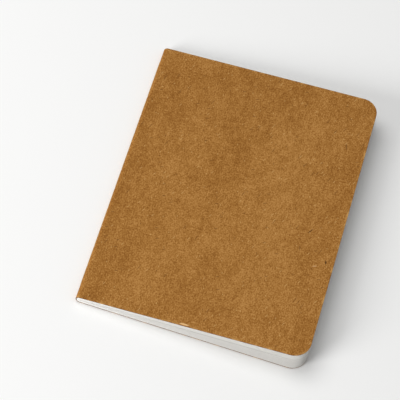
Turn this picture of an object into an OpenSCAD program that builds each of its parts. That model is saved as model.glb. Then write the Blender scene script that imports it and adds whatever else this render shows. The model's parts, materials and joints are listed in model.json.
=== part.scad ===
// Thread-sewn pocket notebook with a soft kraft card cover.
// One signature of folded sheets, lying on its back cover, its pages sprung slightly open.
// +X runs from the spine to the fore-edge, +Y from the tail to the head, +Z up from the back cover.

/* [Page format] */
// Width of the closed notebook, from the outside of the spine to the fore-edge
cover_width = 90; // [80:1:100]
// Height of the covers and the pages
cover_height = 120; // [105:1:140]
// Radius of the two rounded fore-edge corners
corner_r = 6.5; // [3:0.5:10]

/* [Pages] */
// Folded sheets in the signature, each giving a back leaf and a front leaf
sheets = 16; // [8:1:20]
// Thickness of one sheet of paper
paper_t = 0.078; // [0.06:0.001:0.08]
// Distance from one sheet to the next round the fold
sheet_pitch = 0.083; // [0.082:0.001:0.1]

/* [Cover] */
// Thickness of the kraft card
cover_t = 0.35; // [0.25:0.01:0.45]
// Room between the outermost sheet and the card at the spine
cover_gap = 0.02; // [0.01:0.01:0.05]

/* [Spring of the pages] */
// Angle between the two covers as the closed notebook lies
wedge_angle = 5.1; // [3:0.1:8]
// Extra angle between the two halves of the innermost sheet
centre_gap = 0.3; // [0.1:0.05:0.6]

/* [Sewing] */
// Radius of the sewing thread
thread_r = 0.13; // [0.1:0.01:0.14]
// Radius of the holes that the needle made
stitch_hole_r = 0.14; // [0.13:0.005:0.145]
// Length of one stitch along the spine
stitch_length = 9; // [6:0.5:12]
// Number of stitches along the spine
stitches = 12; // [6:1:12]

/* [Hidden] */
$fn = 48;
half_names = ["back_leaf_", "front_leaf_"];

// The innermost fold is wrapped round the thread, which lies on the fold axis.
core_r = 0.15;
// Everything at the spine is bent round one axis, so each sheet's radius follows from its place.
spine_r = core_r + sheets * sheet_pitch + cover_gap + cover_t;
leaf_length = cover_width - spine_r;
half_spine_angle = wedge_angle / 2;
// The fold axis, placed so that the whole notebook is centred over the origin.
axis_x = (spine_r * cos(half_spine_angle) + thread_r - leaf_length) / 2;
axis_z = spine_r;
leaf_step = (wedge_angle - centre_gap) / (2 * sheets);
sewn_length = stitches * stitch_length;
// The needle's and the bobbin's threads lock halfway through the spine.
lock_r = (core_r + spine_r) / 2;
// A thread is squeezed a little where it goes through the sheets.
squeezed_r = 0.85 * thread_r;
// The outside thread is sunk to half its depth, with this much room round it.
groove_room = 0.01;
// The bends take in the first stretch of each leaf and panel, so that no thread meets what turns.
bend_reach = 0.2;
// Each round part runs this many degrees into its straight ends, so that they join.
join_angle = 1;
// Circles this small keep round edges with few segments.
thread_fn = 24;

kraft = "#9f6e37";
paper = "#e6e6e2";
linen = "#cdbb97";

function two_digits(i) = i < 10 ? str("0", i) : str(i);
function leaf_name(half, i) = str(half, two_digits(i));

// Sheet 1 is the outermost, and lies against the covers.
function fold_r(i) = core_r + sheet_pitch * (sheets - i + 0.5);
function back_angle(i) = leaf_step * (i - 0.5);
function front_angle(i) = wedge_angle - back_angle(i);

// Children drawn about the fold axis, with X along the leaf, are put in their place.
module at_fold() {
    translate([axis_x, 0, axis_z]) children();
}

// The outline of a leaf or a cover panel, from its bend to the rounded fore-edge corners.
module panel_outline() {
    straight = cover_height - 2 * corner_r;
    flat_length = leaf_length - bend_reach;
    translate([bend_reach, -straight / 2]) square([flat_length, straight]);
    translate([bend_reach, -cover_height / 2]) square([flat_length - corner_r, cover_height]);
    for (side = [-1, 1])
        translate([leaf_length - corner_r, side * straight / 2]) circle(r = corner_r);
}

// A panel of thickness t whose lower face is at height low above the fold axis, tilted by angle.
module panel(angle, low, t) {
    at_fold() rotate([0, -angle, 0]) translate([0, 0, low])
        linear_extrude(height = t) panel_outline();
}

// A bent strip from the lower panel's start to the upper panel's, seen along the spine.
module bend_outline(inner_r, outer_r, low_angle, high_angle) {
    far = 2 * outer_r;
    thickness = outer_r - inner_r;
    from = 90 + high_angle - join_angle;
    to = 270 + low_angle + join_angle;
    corners = 6;
    intersection() {
        difference() {
            circle(r = outer_r);
            circle(r = inner_r);
        }
        polygon(concat([[0, 0]], [
            for (k = [0 : corners])
                let (a = from + (to - from) * k / corners) far * [cos(a), sin(a)]
        ]));
    }
    rotate(low_angle) translate([0, -outer_r]) square([bend_reach, thickness]);
    rotate(high_angle) translate([0, inner_r]) square([bend_reach, thickness]);
}

module bend(inner_r, outer_r, low_angle, high_angle) {
    at_fold() rotate([90, 0, 0]) linear_extrude(height = cover_height, center = true)
        bend_outline(inner_r, outer_r, low_angle, high_angle);
}

// A rod straight out from the fold axis through the middle of the spine, at each end of each stitch.
module stitch_rods(r, from, to) {
    for (k = [0 : stitches])
        at_fold() translate([0, k * stitch_length - sewn_length / 2, 0])
            rotate([0, -90 - half_spine_angle, 0]) translate([0, 0, from])
                cylinder(r = r, h = to - from, $fn = thread_fn);
}

// A rod along the spine at a distance out from the fold axis.
module spine_rod(r, out) {
    at_fold() rotate([0, -half_spine_angle, 0]) translate([-out, 0, 0]) rotate([90, 0, 0])
        cylinder(r = r, h = sewn_length + 2 * r, center = true, $fn = thread_fn);
}

// Card under the pages, flat on the table.
module back_cover() {
    color(kraft) panel(0, -spine_r, cover_t);
}

// Card over the pages, lifted by their spring.
module front_cover() {
    color(kraft) panel(wedge_angle, spine_r - cover_t, cover_t);
}

// The rounded spine of the card, with a groove where the outside thread has sunk in.
module cover_spine() {
    color(kraft) difference() {
        bend(spine_r - cover_t, spine_r, 0, wedge_angle);
        stitch_rods(stitch_hole_r, core_r, spine_r + cover_t);
        spine_rod(thread_r + groove_room, spine_r);
    }
}

// The folds of all the sheets, nested round the fold axis.
module sheet_folds() {
    color(paper) for (i = [1 : sheets]) difference() {
        bend(fold_r(i) - paper_t / 2, fold_r(i) + paper_t / 2, back_angle(i), front_angle(i));
        stitch_rods(stitch_hole_r, 0, spine_r);
    }
}

module back_leaf(i) {
    color(paper) panel(back_angle(i), -fold_r(i) - paper_t / 2, paper_t);
}

module front_leaf(i) {
    color(paper) panel(front_angle(i), fold_r(i) - paper_t / 2, paper_t);
}

// The needle's thread, seen on the outside of the spine.
module thread_outside() {
    color(linen) {
        spine_rod(thread_r, spine_r);
        stitch_rods(squeezed_r, lock_r, spine_r);
    }
}

// The bobbin's thread, lying in the middle of the innermost fold.
module thread_inside() {
    color(linen) {
        spine_rod(thread_r, 0);
        stitch_rods(squeezed_r, 0, lock_r);
    }
}

back_cover();
cover_spine();
front_cover();
sheet_folds();
thread_outside();
thread_inside();
for (i = [1 : sheets]) {
    back_leaf(i);
    front_leaf(i);
}
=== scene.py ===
import json
import math

import bpy
import numpy as np
from mathutils import Matrix, Vector


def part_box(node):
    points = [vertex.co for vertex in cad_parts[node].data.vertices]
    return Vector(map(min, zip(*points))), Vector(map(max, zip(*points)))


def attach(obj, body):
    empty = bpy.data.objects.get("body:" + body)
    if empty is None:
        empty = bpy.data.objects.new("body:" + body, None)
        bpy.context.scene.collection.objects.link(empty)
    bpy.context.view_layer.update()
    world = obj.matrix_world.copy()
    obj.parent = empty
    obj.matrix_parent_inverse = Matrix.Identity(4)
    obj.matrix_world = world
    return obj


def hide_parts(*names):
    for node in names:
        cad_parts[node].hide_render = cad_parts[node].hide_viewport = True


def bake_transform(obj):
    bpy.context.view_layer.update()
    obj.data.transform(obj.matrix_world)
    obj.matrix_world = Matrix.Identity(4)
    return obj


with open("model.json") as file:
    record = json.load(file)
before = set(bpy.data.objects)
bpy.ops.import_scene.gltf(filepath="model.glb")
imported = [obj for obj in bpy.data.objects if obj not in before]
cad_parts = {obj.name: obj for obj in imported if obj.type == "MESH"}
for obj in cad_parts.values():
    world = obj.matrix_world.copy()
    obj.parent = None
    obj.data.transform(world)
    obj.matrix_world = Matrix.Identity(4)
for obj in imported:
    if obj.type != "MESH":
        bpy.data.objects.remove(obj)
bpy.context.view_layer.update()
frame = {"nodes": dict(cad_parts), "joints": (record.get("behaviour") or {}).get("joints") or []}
mm = 0.001
rng = np.random.default_rng(7)

# the sizes that everything follows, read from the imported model
joints = {joint["name"]: joint for joint in frame["joints"]}
foldX, _, foldZ = joints["centre_opening"]["pos_m"]  # the axis that the whole notebook opens about
openAngle = math.radians(joints["centre_opening"]["range_deg"][1])
wedge = math.pi - openAngle  # the angle between the covers as the notebook lies
backLow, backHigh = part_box("back_cover")
leafLength = backHigh.x - foldX
halfHeight = backHigh.y
cardThickness = backHigh.z - backLow.z
spineRadius = foldZ  # outside of the card round the spine
sheetCount = sum(name.startswith("back_leaf_") for name in frame["nodes"])
_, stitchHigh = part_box("thread_inside")
print("frame:", len(frame["nodes"]), "nodes,", sheetCount, "sheets")


def linearColour(hexColour):
    # sRGB hex to linear: (c + 0.055) / 1.055 to the power 2.4, or c / 12.92 near black
    channels = [int(hexColour[i : i + 2], 16) / 255 for i in (1, 3, 5)]
    return (*[c / 12.92 if c <= 0.04045 else ((c + 0.055) / 1.055) ** 2.4 for c in channels], 1.0)


def addNode(tree, kind, settings=None, links=None):
    # one node, its settings, and its inputs: values, sockets, or other nodes, whose first output is taken
    node = tree.nodes.new(kind)
    for name, value in (settings or {}).items():
        setattr(node, name, value)
    for name, value in (links or {}).items():
        if isinstance(value, bpy.types.Node):
            value = value.outputs[0]
        if isinstance(value, bpy.types.NodeSocket):
            tree.links.new(value, node.inputs[name])
        else:
            node.inputs[name].default_value = value
    return node


def newMaterial(name):
    material = bpy.data.materials.new(name)
    material.use_nodes = True
    material.node_tree.nodes.clear()
    return material, material.node_tree


camera = {
    "lens": 185.0,  # mm
    "sensor": 36.0,  # mm wide
    "distance": 796.0,  # mm from the front cover
    "elevation": 58.7,  # degrees above the front cover's own plane
    "turn": 11.2,  # degrees that the notebook is turned clockwise
    "roll": 5.2,  # degrees that the camera is tipped sideways
    "aim": (-11.7, -5.3),  # mm from the middle of the front cover, to the fore-edge and to the head
}


def coverPoint(along, across, above):
    # a point in metres on the front cover: along from the fold axis, across from the middle, above the card
    rise = spineRadius + above
    return Vector((
        foldX + along * math.cos(wedge) - rise * math.sin(wedge),
        across,
        foldZ + along * math.sin(wedge) + rise * math.cos(wedge),
    ))


def makeCamera():
    data = bpy.data.cameras.new("camera")
    data.sensor_width = camera["sensor"]
    data.lens = camera["lens"]
    cam = bpy.data.objects.new("camera", data)
    bpy.context.collection.objects.link(cam)
    turn, elevation = math.radians(camera["turn"]), math.radians(camera["elevation"])
    # the view in the front cover's own axes, then tipped up with the cover
    back = Vector((math.sin(turn) * math.cos(elevation), -math.cos(turn) * math.cos(elevation),
                   math.sin(elevation)))
    back = Matrix.Rotation(-wedge, 3, "Y") @ back
    right = Matrix.Rotation(-wedge, 3, "Y") @ Vector((math.cos(turn), math.sin(turn), 0))
    up = back.cross(right)
    roll = Matrix.Rotation(math.radians(camera["roll"]), 3, back)
    axes = Matrix((roll @ right, roll @ up, back)).transposed()
    middle = (leafLength + spineRadius) / 2 - spineRadius  # of the front cover, from the fold axis
    aim = coverPoint(middle + camera["aim"][0] * mm, camera["aim"][1] * mm, 0)
    cam.matrix_world = Matrix.Translation(aim + back * camera["distance"] * mm) @ axes.to_4x4()
    bpy.context.scene.camera = cam


makeCamera()
print("camera placed")


# every sheet of paper and card has this outline and mesh
outline = {
    "cornerRadius": 6.5,  # mm, the two fore-edge corners
    "cornerSteps": 14,
    "flatSteps": 44,
    "bendSteps": 32,
    "foldRecess": 0.12,  # mm that a fold's head and tail lie back, so that they would stay covered if it were opened
    "columns": 24,
    "edgeColumns": (0.2, 0.5, 1.0, 2.0),  # mm in from head and tail, so that wear can be narrow
    "edgeFade": 0.5,  # mm over which wear dies away from the cut edge
    "sharpAngle": 50,  # degrees, past which an edge is shaded sharp
    "innerFaceShift": 0.5,  # m that the inner face's pattern is set apart from the outer one's
}


def leafSamples(inset):
    # distances from the fold axis to the fore-edge, in even steps and then equal angles round the corner,
    # and half the leaf's height at each: full, then a quarter circle
    radius = outline["cornerRadius"] * mm - inset
    start = leafLength - inset - radius
    turn = np.linspace(0, math.pi / 2, outline["cornerSteps"] + 1)[1:]
    along = np.concatenate([np.linspace(0, start, outline["flatSteps"] + 1), start + radius * np.sin(turn)])
    drop = radius - np.sqrt(np.clip(radius**2 - np.clip(along - start, 0, None) ** 2, 0, None))
    return along, halfHeight - inset - drop


def leafPath(angle, radius, side, inset=0.0):
    # a flat leaf tangent to its fold, side -1 under the axis and +1 over it: its points (x, z) lie along the
    # angle and a radius off the axis, and its normals point away from the axis
    along, halfWidths = leafSamples(inset)
    ahead = np.array([math.cos(angle), math.sin(angle)])
    normal = side * np.array([-math.sin(angle), math.cos(angle)])
    points = np.array([foldX, foldZ]) + along[:, None] * ahead + radius * normal
    return points, np.tile(normal, (len(along), 1)), halfWidths


def bendPath(radius, lowAngle, highAngle, inset=0.0):
    # an arc about the fold axis, from under it, round the back of the spine, to over it
    # its head and tail lie back by the recess times the square of a half sine wave along the arc
    turn = np.linspace(1.5 * math.pi + lowAngle, 0.5 * math.pi + highAngle, outline["bendSteps"] + 1)
    normals = np.stack([np.cos(turn), np.sin(turn)], 1)
    points = np.array([foldX, foldZ]) + radius * normals
    recess = outline["foldRecess"] * mm * np.sin(np.linspace(0, math.pi, len(turn))) ** 2
    return points, normals, halfHeight - inset - recess


def joined(*paths):
    # one path from several that meet end to end, each first point after the first path left out
    return [np.concatenate([path[k] if n == 0 else path[k][1:] for n, path in enumerate(paths)])
            for k in range(3)]


def backwards(path):
    return [part[::-1] for part in path]


def sheetMesh(name, path, thickness, rounding=0.0, seam=None, lift=None, sink=None, runStart=0.0,
              columnsAt=()):
    # a closed sheet: a grid of path points by columns, moved half a thickness out and in along the normals,
    # and joined round its edge by rings on a quarter circle at each face
    # seam is the row, 0 or -1, where another sheet carries on
    # lift moves the whole sheet out and sink moves its outer face in, both as functions of (run, y)
    points, normals, halfWidths = path
    near = 1 - np.array(outline["edgeColumns"]) * mm / halfHeight
    across = np.unique(np.concatenate([np.linspace(-1, 1, outline["columns"] + 1), near, -near, columnsAt]))
    rows, columns = len(points), len(across)
    y = halfWidths[:, None] * across
    flat = np.ones_like(y)
    middle = np.stack([points[:, :1] * flat, y, points[:, 1:] * flat], 2)
    out = np.stack([normals[:, :1] * flat, 0 * flat, normals[:, 1:] * flat], 2)
    run = np.concatenate([[0], np.cumsum(np.linalg.norm(np.diff(points, axis=0), axis=1))])
    if lift is not None:
        middle = middle + out * lift(run[:, None], y)[:, :, None]
    half = thickness / 2
    outer = middle + out * (half - (sink(run[:, None], y) if sink else 0 * y))[:, :, None]
    inner = middle - out * half
    number = np.arange(rows * columns).reshape(rows, columns)
    loop = np.concatenate([number[:-1, 0], number[-1, :-1], number[:0:-1, -1], number[0, :0:-1]])
    edge, edgeOut = middle.reshape(-1, 3)[loop], out.reshape(-1, 3)[loop]
    outward = np.cross(np.roll(edge, -1, 0) - np.roll(edge, 1, 0), edgeOut)
    outward /= np.linalg.norm(outward, axis=1, keepdims=True)
    ahead = np.gradient(points, run, axis=0)[loop // columns]
    outPlace = np.stack([outward[:, 0] * ahead[:, 0] + outward[:, 2] * ahead[:, 1], outward[:, 1]], 1)
    if seam is not None:  # the edge stays square there
        seamRow = number[seam]
        outward[np.isin(loop, seamRow)] = 0
        for corner, way in ((seamRow[0], -1.0), (seamRow[-1], 1.0)):
            outward[loop == corner] = (0, way, 0)
    turns = np.radians([45, 90]) if rounding > 0 else []
    steps = [(rounding * math.sin(t), half - rounding * (1 - math.cos(t))) for t in turns]
    steps += [(reach, -height) for reach, height in reversed(steps)]
    rings = [edge + outward * reach + edgeOut * height for reach, height in steps]
    size = rows * columns
    quads = number[:-1, :-1], number[1:, :-1], number[1:, 1:], number[:-1, 1:]
    a, b, c, d = (corner.ravel() for corner in quads)
    faces = [np.stack([a, b, c, d], 1), np.stack([a, d, c, b], 1) + size]
    # each corner's place on the unbent sheet in metres, with the inner face set apart
    # a rim's place runs on outwards from the edge
    place = np.stack([(run[:, None] + runStart) * flat, y], 2).reshape(-1, 2)
    places = [place[faces[0]], place[faces[1] - size] + [outline["innerFaceShift"], 0]]
    ringLoops = [2 * size + k * len(loop) + np.arange(len(loop)) for k in range(len(rings))]
    levels = [loop, *ringLoops, loop + size]
    profile = np.array([(0.0, half), *steps, (0.0, -half)])
    reached = np.concatenate([[0], np.cumsum(np.linalg.norm(np.diff(profile, axis=0), axis=1))])
    for k, (upper, lower) in enumerate(zip(levels, levels[1:])):
        faces.append(np.stack([upper, lower, np.roll(lower, -1), np.roll(upper, -1)], 1))
        first, second = (place[loop] + outPlace * reached[n] for n in (k, k + 1))
        places.append(np.stack([first, second, np.roll(second, -1, 0), np.roll(first, -1, 0)], 1))
    faces = np.concatenate(faces)
    mesh = bpy.data.meshes.new(name)
    vertices = np.concatenate([outer.reshape(-1, 3), inner.reshape(-1, 3), *rings])
    mesh.from_pydata(vertices.tolist(), [], faces.tolist())
    mesh.polygons.foreach_set("use_smooth", np.ones(len(faces), bool))
    mesh.set_sharp_from_angle(angle=math.radians(outline["sharpAngle"]))
    uvMap = mesh.uv_layers.new(name="sheet")
    uvMap.data.foreach_set("uv", np.concatenate(places).astype(np.float32).ravel())
    # how near each point is to the cut edge: the exponential of minus the square of its distance in fades
    toEnd = np.minimum(run[:, None] * flat, (run[-1] - run[:, None]) * flat)
    if seam is not None:
        toEnd = ((run[-1] - run) if seam == 0 else run)[:, None] * flat
    toEdge = np.minimum(halfWidths[:, None] * (1 - abs(across)), toEnd)
    nearEdge = np.exp(-((toEdge / (outline["edgeFade"] * mm)) ** 2)).ravel()
    store(mesh, "edge", np.concatenate([nearEdge, nearEdge, *[nearEdge[loop]] * len(rings)]))
    store(mesh, "rim", np.arange(len(vertices)) >= 2 * size)
    return mesh, np.concatenate([place, place, *[place[loop]] * len(rings)])


def store(mesh, name, values):
    mesh.attributes.new(name, "FLOAT", "POINT").data.foreach_set("value", values.astype(np.float32))


def makePiece(name, mesh, material):
    mesh.materials.append(material)
    piece = bpy.data.objects.new(name, mesh)
    bpy.context.collection.objects.link(piece)
    return piece


def bendBetween(piece):
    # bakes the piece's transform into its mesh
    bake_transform(piece)


kraft = {
    "light": "#b88547",
    "middle": "#9e6b2d",
    "dark": "#835117",
    # the cut edge's colour: the board's own darker core, deepened with painted shade along the edge
    "cutEdge": "#6d4419",
    "worn": "#cfa15f",
    "run": 90,  # degrees from square across the fold to the way that the board ran through the machine
    # patterns in the tone: mm across the run, times longer along it, detail, amount, mm to where they start
    "patterns": (
        (34.0, 2.0, 1.0, 0.5, (411.4, -1475.6)),  # slow drift in tone, its start placed to set where the cover is darker and where lighter
        (6.0, 1.5, 2.0, 0.5, (0, 0)),  # uneven pulp, seen as soft blotches
        (1.7, 1.4, 3.0, 0.72, (0, 0)),  # knots of fibres
        (0.5, 1.3, 3.0, 1.95, (0, 0)),  # fibre ends; real ones are finer and are drawn as coarse as they show
    ),
    "fibre": (2.6, 0.34),  # mm long and wide, single fibres pressed into the face
    "fibreTurns": ((88, 118, 50), (97, 72, 5)),  # degrees, of the pale fibres and of the dark ones
    "fibreDetail": 1.0,
    "fibreBend": 0.3,
    "fibreAmount": 0.64,
    # scattered flecks: colour, strength, degrees, mm long and wide, times their size apart, share kept
    "flecks": (
        ("#5f3a12", 0.75, 20, (1.5, 0.3), 13, 0.35),
        ("#5f3a12", 0.6, 115, (0.8, 0.35), 12, 0.4),
        ("#5f3a12", 0.65, 68, (2.8, 0.26), 9, 0.3),
        ("#d0a568", 0.6, 62, (1.6, 0.3), 10, 0.4),
        ("#d0a568", 0.6, 100, (0.7, 0.4), 11, 0.5),
    ),
    # the largest single splinters on the front cover, and last a rubbed spot at the tail: colour, strength,
    # mm from the spine and from the head, degrees, half the length and half the width in mm
    "splinters": (
        ("#4a2c0c", 0.9, 86.7, 77.9, 104, (0.8, 0.28)),
        ("#4f300f", 0.7, 77.8, 66.1, 58, (1.3, 0.22)),
        ("#d6ac7c", 0.5, 83.0, 80.7, 25, (0.85, 0.26)),
        ("#5a3813", 0.6, 82.0, 24.5, 103, (1.3, 0.24)),
        ("#5f3a12", 0.5, 75.5, 74.6, 104, (1.15, 0.26)),
        ("#e6bb82", 0.9, 42.3, 119.35, 0, (1.8, 0.34)),
    ),
    "fleckOutline": (0.6, 0.3),  # of a fleck's size, where it begins to show and where it is full
    "splinterOutline": (1.3, 0.7),  # of a splinter's half size, the same
    "rubPatch": 4.0,  # mm, along the edges
    "rubRange": (0.48, 0.7),  # of the patches' noise, where rubbing begins and where it is at its most
    "rubMost": 0.75,
    "roughness": 0.82,
    "specular": 0.2,
    "bump": (0.3, 0.03),  # strength, and mm high
}


def laid(place, turn, size, start=(0, 0)):
    # what a Mapping needs to measure a place from a start in mm, along and across a direction in degrees,
    # in units of a size in mm
    return {"Vector": place, "Location": (start[0] * mm, start[1] * mm, 0),
            "Rotation": (0, 0, math.radians(turn)), "Scale": (size[0] * mm, size[1] * mm, 1)}


def mottle(tree, place, turn, size, detail, bend=0.0, start=(0, 0)):
    # soft blots of a size in mm, long and wide, along a direction in degrees
    lay = addNode(tree, "ShaderNodeMapping", {"vector_type": "TEXTURE"}, laid(place, turn, size, start))
    return addNode(tree, "ShaderNodeTexNoise", {"noise_dimensions": "2D"}, {
        "Vector": lay, "Scale": 1.0, "Detail": detail, "Distortion": bend})


def flecks(tree, place, turn, size, spacing, share):
    # short marks, one here and there: stretched cells whose own random value is under the share
    lay = addNode(tree, "ShaderNodeMapping", {"vector_type": "TEXTURE"},
                  laid(place, turn, (size[0] * spacing, size[1] * spacing)))
    cells = addNode(tree, "ShaderNodeTexVoronoi", {"voronoi_dimensions": "2D"}, {"Vector": lay, "Scale": 1.0})
    begin, full = kraft["fleckOutline"]
    mark = addNode(tree, "ShaderNodeMapRange", {"interpolation_type": "SMOOTHSTEP"}, {
        "Value": cells.outputs["Distance"], "From Min": begin / spacing, "From Max": full / spacing,
        "To Min": 0.0, "To Max": 1.0})
    chance = addNode(tree, "ShaderNodeSeparateColor", {}, {"Color": cells.outputs["Color"]})
    there = addNode(tree, "ShaderNodeMath", {"operation": "LESS_THAN"}, {0: chance, 1: share})
    return addNode(tree, "ShaderNodeMath", {"operation": "MULTIPLY"}, {0: mark, 1: there})


def splinter(tree, place, start, turn, size):
    # one soft-edged mark: full inside an ellipse of this half length and half width in mm, and fading past it
    lay = addNode(tree, "ShaderNodeMapping", {"vector_type": "TEXTURE"}, laid(place, turn, size, start))
    away = addNode(tree, "ShaderNodeVectorMath", {"operation": "LENGTH"}, {0: lay})
    begin, full = kraft["splinterOutline"]
    return addNode(tree, "ShaderNodeMapRange", {"interpolation_type": "SMOOTHSTEP"}, {
        "Value": away.outputs["Value"], "From Min": begin, "From Max": full, "To Min": 0.0, "To Max": 1.0})


def kraftCard(spineRun):
    # unbleached brown kraft board, machine-pressed and uncoated: dull, mottled, with fibres in its face
    material, tree = newMaterial("kraftCard")
    place = addNode(tree, "ShaderNodeUVMap", {"uv_map": "sheet"})
    # the tone is a half, plus each pattern's departure from its mean of a half, times its amount
    tone = 0.5 - 0.5 * sum(pattern[3] for pattern in kraft["patterns"])
    for width, stretch, detail, amount, start in kraft["patterns"]:
        pattern = mottle(tree, place, kraft["run"], (width * stretch, width), detail, start=start)
        tone = addNode(tree, "ShaderNodeMath", {"operation": "MULTIPLY_ADD"}, {
            0: pattern, 1: amount, 2: tone})
    # the pale fibres less the dark ones, each the strongest of its directions
    strongest = [0.0, 0.0]
    for side, turns in enumerate(kraft["fibreTurns"]):
        for turn in turns:
            fibres = mottle(tree, place, turn, kraft["fibre"], kraft["fibreDetail"], kraft["fibreBend"])
            strongest[side] = addNode(tree, "ShaderNodeMath", {"operation": "MAXIMUM"}, {
                0: strongest[side], 1: fibres})
    contrast = addNode(tree, "ShaderNodeMath", {"operation": "SUBTRACT"}, dict(enumerate(strongest)))
    tone = addNode(tree, "ShaderNodeMath", {"operation": "MULTIPLY_ADD"}, {
        0: contrast, 1: kraft["fibreAmount"], 2: tone})
    ramp = addNode(tree, "ShaderNodeValToRGB", {}, {"Fac": tone})
    ramp.color_ramp.elements[0].color = linearColour(kraft["dark"])
    ramp.color_ramp.elements[1].color = linearColour(kraft["light"])
    ramp.color_ramp.elements.new(0.5).color = linearColour(kraft["middle"])
    marks = [(colour, strength, flecks(tree, place, *shape)) for colour, strength, *shape in kraft["flecks"]]
    for colour, strength, fromSpine, fromHead, turn, size in kraft["splinters"]:
        start = (spineRun / mm + fromSpine, halfHeight / mm - fromHead)
        marks.append((colour, strength, splinter(tree, place, start, turn, size)))
    # the die-cut edge is dark, partly the board's own darker core and partly painted shade along the edge,
    # and paler in patches where it is rubbed
    rim = addNode(tree, "ShaderNodeAttribute", {"attribute_name": "rim"})
    edge = addNode(tree, "ShaderNodeAttribute", {"attribute_name": "edge"})
    patches = mottle(tree, place, 0, (kraft["rubPatch"], kraft["rubPatch"]), 3.0)
    begin, full = kraft["rubRange"]
    rub = addNode(tree, "ShaderNodeMapRange", {}, {
        "Value": patches, "From Min": begin, "From Max": full, "To Min": 0.0, "To Max": kraft["rubMost"]})
    marks += [(kraft["cutEdge"], 1.0, rim.outputs["Fac"]), (kraft["worn"], edge.outputs["Fac"], rub)]
    face = ramp.outputs["Color"]
    for colour, strength, shape in marks:
        amount = addNode(tree, "ShaderNodeMath", {"operation": "MULTIPLY"}, {0: shape, 1: strength})
        face = addNode(tree, "ShaderNodeMix", {"data_type": "RGBA"}, {
            0: amount, 6: face, 7: linearColour(colour)}).outputs[2]
    strength, height = kraft["bump"]
    bump = addNode(tree, "ShaderNodeBump", {}, {
        "Height": tone, "Strength": strength, "Distance": height * mm})
    shader = addNode(tree, "ShaderNodeBsdfPrincipled", {}, {
        "Base Color": face, "Roughness": kraft["roughness"], "Specular IOR Level": kraft["specular"],
        "Normal": bump})
    addNode(tree, "ShaderNodeOutputMaterial", {}, {"Surface": shader})
    return material


sewing = {
    "colour": "#d8c7a3",
    "shadow": "#a8946c",
    "stitches": 12,
    "threadRadius": 0.13,  # mm
    "curveSamples": 600,
    "pointsPerStitch": 72,
    "sides": 12,
    "plies": 2,
    "lobe": 0.22,  # of the thread's radius, the depth of the hollow between two plies
    "twist": 0.9,  # mm for one full turn of the plies
    "squareness": 14,  # of the superellipse that a stitch follows from hole to hole
    "endRoom": 0.1,  # mm between the middle of a hole and the stitch that goes into it
    "standOff": 0.02,  # mm that the outer thread stands clear of the card
    "roughness": 0.7,
    "specular": 0.4,
    "sheen": 0.3,
}

cover = {
    "edgeRounding": 0.08,  # mm, the crushed edge of die-cut card
    "hingeStrip": 1.6,  # mm of the front panel that bends when only the cover is opened
    "threadGroove": (0.09, 0.22),  # mm deep and mm of half its width, where the sewing has sunk in
    "grooveFade": 0.2,  # mm over which the groove ends
    "needleHole": (0.12, 0.2),  # mm deep and mm of half its width, the dimple at each stitch's end
    "holeColumns": (-2, -1, -0.5, 0, 0.5, 1, 2),  # half widths from the middle of a hole, so that it is round
}


def makeCover():
    inset = cover["edgeRounding"] * mm
    radius = spineRadius - cardThickness / 2
    flatLength = leafLength - inset
    spineLength = radius * (math.pi - wedge)
    spineMiddle = flatLength + spineLength / 2
    frontStart = flatLength + spineLength  # the pattern runs on from the back and the spine
    material = kraftCard(frontStart - spineRadius)
    back = backwards(leafPath(0, radius, -1, inset))
    bend = bendPath(radius, 0, wedge, inset)
    front = leafPath(wedge, radius, 1, inset)
    grooveDepth, grooveWidth = (value * mm for value in cover["threadGroove"])
    holeDepth, holeWidth = (value * mm for value in cover["needleHole"])
    stitchEnds = np.linspace(-1, 1, sewing["stitches"] + 1) * (stitchHigh.y - sewing["threadRadius"] * mm)

    def groove(run, y):
        # a bell curve across the sewing, fading out at both of its ends, and a round bell at each needle hole
        away = run - spineMiddle
        ending = 1 + np.exp((abs(y) - stitchHigh.y) / (cover["grooveFade"] * mm))
        trough = grooveDepth * np.exp(-((away / grooveWidth) ** 2)) / ending
        toHole = np.min(abs(y[..., None] - stitchEnds), axis=-1)
        return trough + holeDepth * np.exp(-((toHole / holeWidth) ** 2) - (away / holeWidth) ** 2)

    holeColumns = stitchEnds[:, None] + np.array(cover["holeColumns"]) * holeWidth
    mesh, _ = sheetMesh("coverBack", joined(back, bend), cardThickness, inset, seam=-1, sink=groove,
                        columnsAt=holeColumns.ravel() / halfHeight)
    piece = makePiece("coverBack", mesh, material)
    bendBetween(piece)
    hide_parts("back_cover", "cover_spine")
    mesh, _ = sheetMesh("coverFront", front, cardThickness, inset, seam=0, runStart=frontStart)
    piece = makePiece("coverFront", mesh, material)
    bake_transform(piece)
    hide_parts("front_cover")


makeCover()
print("cover made")


pages = {
    "paper": "#f4f2ee",
    # the greyer colour that the paper mixes towards, both for its cloudy formation and for painted shade on
    # some leaves
    "shade": "#dbd9d5",
    "thickness": 0.078,  # mm, one sheet
    "foldCore": 0.15,  # mm, inside radius of the innermost fold
    "pitch": 0.083,  # mm from one sheet to the next round the fold
    "centreGap": 0.3,  # degrees more between the two halves of the innermost sheet
    "unevenness": 0.025,  # degrees that a leaf strays from an even fan
    "parting": 11,  # front leaves, counted from the cover, that lie a little apart from the rest
    "partingAngle": 0.34,  # degrees
    # mm less half height at the fore-edge: front leaves inside the parting all of it, back leaves by degrees
    "innerTrim": 0.45,
    "tones": (0.0, 0.75, 0.1),  # painted shade, as a share towards the greyer colour: front leaves before the parting, at it, and all the rest
    "shadedLeaves": 2,
    "toneSpread": 0.16,
    "wave": 0.03,  # mm that the leaves ripple at the fore-edge
    "waveLength": 46.0,  # mm
    "waveStart": 1.0,  # radians
    "formation": 0.8,  # mm, the cloudiness of the paper
    "formationDetail": 3.0,
    "formationAmount": 0.35,
    "roughness": 0.88,
    "specular": 0.25,
    "bump": (0.15, 0.01),  # strength, and mm high
}


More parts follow.
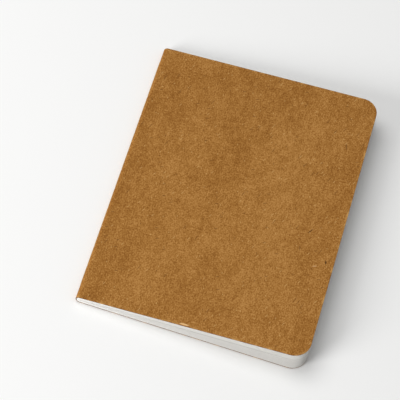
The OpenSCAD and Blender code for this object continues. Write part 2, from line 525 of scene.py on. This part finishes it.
def writingPaper():
    # smooth uncoated wood-free writing paper: matt white, with a faint cloudy formation, and painted shade on
    # some leaves through their tone
    material, tree = newMaterial("writingPaper")
    place = addNode(tree, "ShaderNodeUVMap", {"uv_map": "sheet"})
    size = (pages["formation"], pages["formation"])
    formation = mottle(tree, place, 0, size, pages["formationDetail"])
    # each leaf's tone: painted shade at the parting and on the lower leaves, plus a random spread of its own
    tone = addNode(tree, "ShaderNodeAttribute", {"attribute_name": "tone"})
    mixed = addNode(tree, "ShaderNodeMath", {"operation": "MULTIPLY_ADD"}, {
        0: formation, 1: pages["formationAmount"], 2: tone.outputs["Fac"]})
    colour = addNode(tree, "ShaderNodeMix", {"data_type": "RGBA"}, {
        0: mixed, 6: linearColour(pages["paper"]), 7: linearColour(pages["shade"])}).outputs[2]
    strength, height = pages["bump"]
    bump = addNode(tree, "ShaderNodeBump", {}, {
        "Height": formation, "Strength": strength, "Distance": height * mm})
    shader = addNode(tree, "ShaderNodeBsdfPrincipled", {}, {
        "Base Color": colour, "Roughness": pages["roughness"], "Specular IOR Level": pages["specular"],
        "Normal": bump})
    addNode(tree, "ShaderNodeOutputMaterial", {}, {"Surface": shader})
    return material


def makePages():
    material = writingPaper()
    step = (wedge - math.radians(pages["centreGap"])) / (2 * sheetCount)
    stray = rng.uniform(-1, 1, (sheetCount, 2)) * math.radians(pages["unevenness"])
    share = leafSamples(0)[0] / leafLength
    trim = pages["innerTrim"] * mm * share**3
    plain, shaded, inner = pages["tones"]
    for k in range(sheetCount):
        number = f"{k + 1:02d}"
        radius = (pages["foldCore"] + pages["pitch"] * (sheetCount - k - 0.5)) * mm
        low = step * (k + 0.5)
        high = wedge - low
        if k > 0:
            low, high = low + stray[k, 0], high + stray[k, 1]
        pastParting = k >= pages["parting"]
        high -= math.radians(pages["partingAngle"]) * pastParting
        back = backwards(leafPath(low, radius, -1))
        back[2] = back[2] - trim[::-1] * k / (sheetCount - 1)
        front = list(leafPath(high, radius, 1))
        front[2] = front[2] - trim * pastParting
        bend = bendPath(radius, low, high)
        middle = leafLength + radius * (math.pi - wedge) / 2

        def ripple(run, y):
            # a slow sine wave down the page, as high as the cube of the share of the way to the fore-edge
            share = abs(run - middle) / middle
            wave = np.sin(2 * math.pi * y / (pages["waveLength"] * mm) + pages["waveStart"])
            side = np.where(run < middle, -1.0, 1.0)
            return side * pages["wave"] * mm * share**3 * wave

        mesh, places = sheetMesh("sheet" + number, joined(back, bend, front), pages["thickness"] * mm,
                                 lift=ripple)
        # painted shade: the two leaves at the parting darkest, for the shadow line under the leaves above
        # them, and the back leaves and those past the parting a little darker, for the lower leaves lying
        # more in shade
        tone = plain if not pastParting else shaded if k < pages["parting"] + pages["shadedLeaves"] else inner
        tones = np.where(places[:, 0] > middle, tone, inner)
        store(mesh, "tone", tones + rng.uniform(0, pages["toneSpread"]))
        piece = makePiece("sheet" + number, mesh, material)
        bendBetween(piece)
        folds = ["sheet_folds"] if k == 0 else []
        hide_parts("back_leaf_" + number, "front_leaf_" + number, *folds)


makePages()
print("sheets made")


def linenThread():
    # two-ply waxed linen: pale, with a soft shine and dark lines where the plies meet
    material, tree = newMaterial("linenThread")
    ply = addNode(tree, "ShaderNodeAttribute", {"attribute_name": "ply"})
    colour = addNode(tree, "ShaderNodeMix", {"data_type": "RGBA"}, {
        0: ply.outputs["Fac"], 6: linearColour(sewing["shadow"]),
        7: linearColour(sewing["colour"])}).outputs[2]
    shader = addNode(tree, "ShaderNodeBsdfPrincipled", {}, {
        "Base Color": colour, "Roughness": sewing["roughness"], "Specular IOR Level": sewing["specular"],
        "Sheen Weight": sewing["sheen"]})
    addNode(tree, "ShaderNodeOutputMaterial", {}, {"Surface": shader})
    return material


def threadMesh(name, lockRadius, runRadius):
    # a row of stitches: each follows half a superellipse out of one hole and into the next,
    # and carries a round profile with two lobes that turn along it
    radius = sewing["threadRadius"] * mm
    sewnHalf = stitchHigh.y - radius
    pitch = 2 * sewnHalf / sewing["stitches"]
    count, sides = sewing["pointsPerStitch"], sewing["sides"]
    turn = np.linspace(math.pi, 0, sewing["curveSamples"])
    power = 2 / sewing["squareness"]
    over = np.sign(np.cos(turn)) * abs(np.cos(turn)) ** power * (pitch / 2 - sewing["endRoom"] * mm)
    rise = lockRadius + (runRadius - lockRadius) * abs(np.sin(turn)) ** power
    length = np.concatenate([[0], np.cumsum(np.hypot(np.diff(over), np.diff(rise)))])
    even = np.linspace(0, length[-1], count)
    over, rise = np.interp(even, length, over), np.interp(even, length, rise)
    ahead = np.stack([np.gradient(over), np.gradient(rise)], 1)
    ahead /= np.linalg.norm(ahead, axis=1, keepdims=True)
    # the stitch lies in the plane through the fold axis and the middle of the spine
    outDirection = np.array([-math.cos(wedge / 2), 0, -math.sin(wedge / 2)])
    alongDirection = np.array([0.0, 1.0, 0.0])
    sideDirection = np.cross(outDirection, alongDirection)
    angle = np.linspace(0, 2 * math.pi, sides, endpoint=False)
    phase = angle[None, :] - 2 * math.pi * even[:, None] / (sewing["twist"] * mm)
    lobe = abs(np.cos(phase * sewing["plies"] / 2))
    reach = radius * (1 - sewing["lobe"] + sewing["lobe"] * lobe)
    normal = -ahead[:, 1:] * alongDirection + ahead[:, :1] * outDirection
    ring = (np.cos(angle)[None, :, None] * normal[:, None, :]
            + np.sin(angle)[None, :, None] * sideDirection) * reach[:, :, None]
    centre = over[:, None] * alongDirection + rise[:, None] * outDirection
    one = (centre[:, None, :] + ring).reshape(-1, 3)
    middles = -sewnHalf + pitch * (np.arange(sewing["stitches"]) + 0.5)
    vertices = np.concatenate([one + np.array([foldX, y, foldZ]) for y in middles])
    number = np.arange(count * sides).reshape(count, sides)
    a, b = number[:-1], np.roll(number, -1, 1)[:-1]
    c, d = np.roll(number, -1, 1)[1:], number[1:]
    walls = np.stack([d.ravel(), c.ravel(), b.ravel(), a.ravel()], 1)
    faces = []
    for k in range(sewing["stitches"]):
        faces += (walls + k * count * sides).tolist()
        faces += [(number[0] + k * count * sides).tolist(), (number[-1, ::-1] + k * count * sides).tolist()]
    mesh = bpy.data.meshes.new(name)
    mesh.from_pydata(vertices.tolist(), [], faces)
    mesh.polygons.foreach_set("use_smooth", np.ones(len(faces), bool))
    store(mesh, "ply", np.tile(lobe.ravel(), sewing["stitches"]))
    return mesh


def makeThreads():
    material = linenThread()
    lock = (pages["foldCore"] * mm + spineRadius) / 2
    outside = spineRadius + sewing["standOff"] * mm
    for name, run, node in (("stitchesOutside", outside, "thread_outside"),
                            ("stitchesInside", 0.0, "thread_inside")):
        piece = makePiece(name, threadMesh(name, lock, run), material)
        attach(piece, "spine")
        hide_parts(node)


makeThreads()
print("thread made")


studio = {
    "floor": "#fafaf9",
    "floorHalf": 3.0,  # m
    "floorRoughness": 0.9,
    "floorSpecular": 0.1,
    "world": "#ffffff",
    "worldStrength": 0.35,
    # each wide soft light: where it stands in metres, its width in metres, and its power in watts
    "lights": (
        ("overhead", (-0.5, 0.2, 1.0), 0.9, 5.7),
        ("frontFill", (-0.75, -0.85, 0.48), 0.6, 9.8),
    ),
}


def makeStudio():
    # matt white card floor under wide soft lights
    material, tree = newMaterial("floorCard")
    shader = addNode(tree, "ShaderNodeBsdfPrincipled", {}, {
        "Base Color": linearColour(studio["floor"]), "Roughness": studio["floorRoughness"],
        "Specular IOR Level": studio["floorSpecular"]})
    addNode(tree, "ShaderNodeOutputMaterial", {}, {"Surface": shader})
    mesh = bpy.data.meshes.new("floor")
    corners = [(x, y, 0) for x, y in np.array([(-1, -1), (1, -1), (1, 1), (-1, 1)]) * studio["floorHalf"]]
    mesh.from_pydata(corners, [], [(0, 1, 2, 3)])
    mesh.materials.append(material)
    floor = bpy.data.objects.new("floor", mesh)
    bpy.context.collection.objects.link(floor)
    for name, stand, width, power in studio["lights"]:
        light = bpy.data.lights.new(name, "AREA")
        light.shape, light.size, light.energy = "DISK", width, power
        lamp = bpy.data.objects.new(name, light)
        lamp.location = stand
        lamp.rotation_mode = "QUATERNION"
        lamp.rotation_quaternion = (-Vector(stand)).to_track_quat("-Z", "Y")
        bpy.context.collection.objects.link(lamp)
    world = bpy.data.worlds.new("studio")
    world.use_nodes = True
    background = world.node_tree.nodes["Background"]
    background.inputs["Color"].default_value = linearColour(studio["world"])
    background.inputs["Strength"].default_value = studio["worldStrength"]
    bpy.context.scene.world = world
    bpy.context.scene.view_settings.view_transform = "Standard"


makeStudio()
print("studio lit")
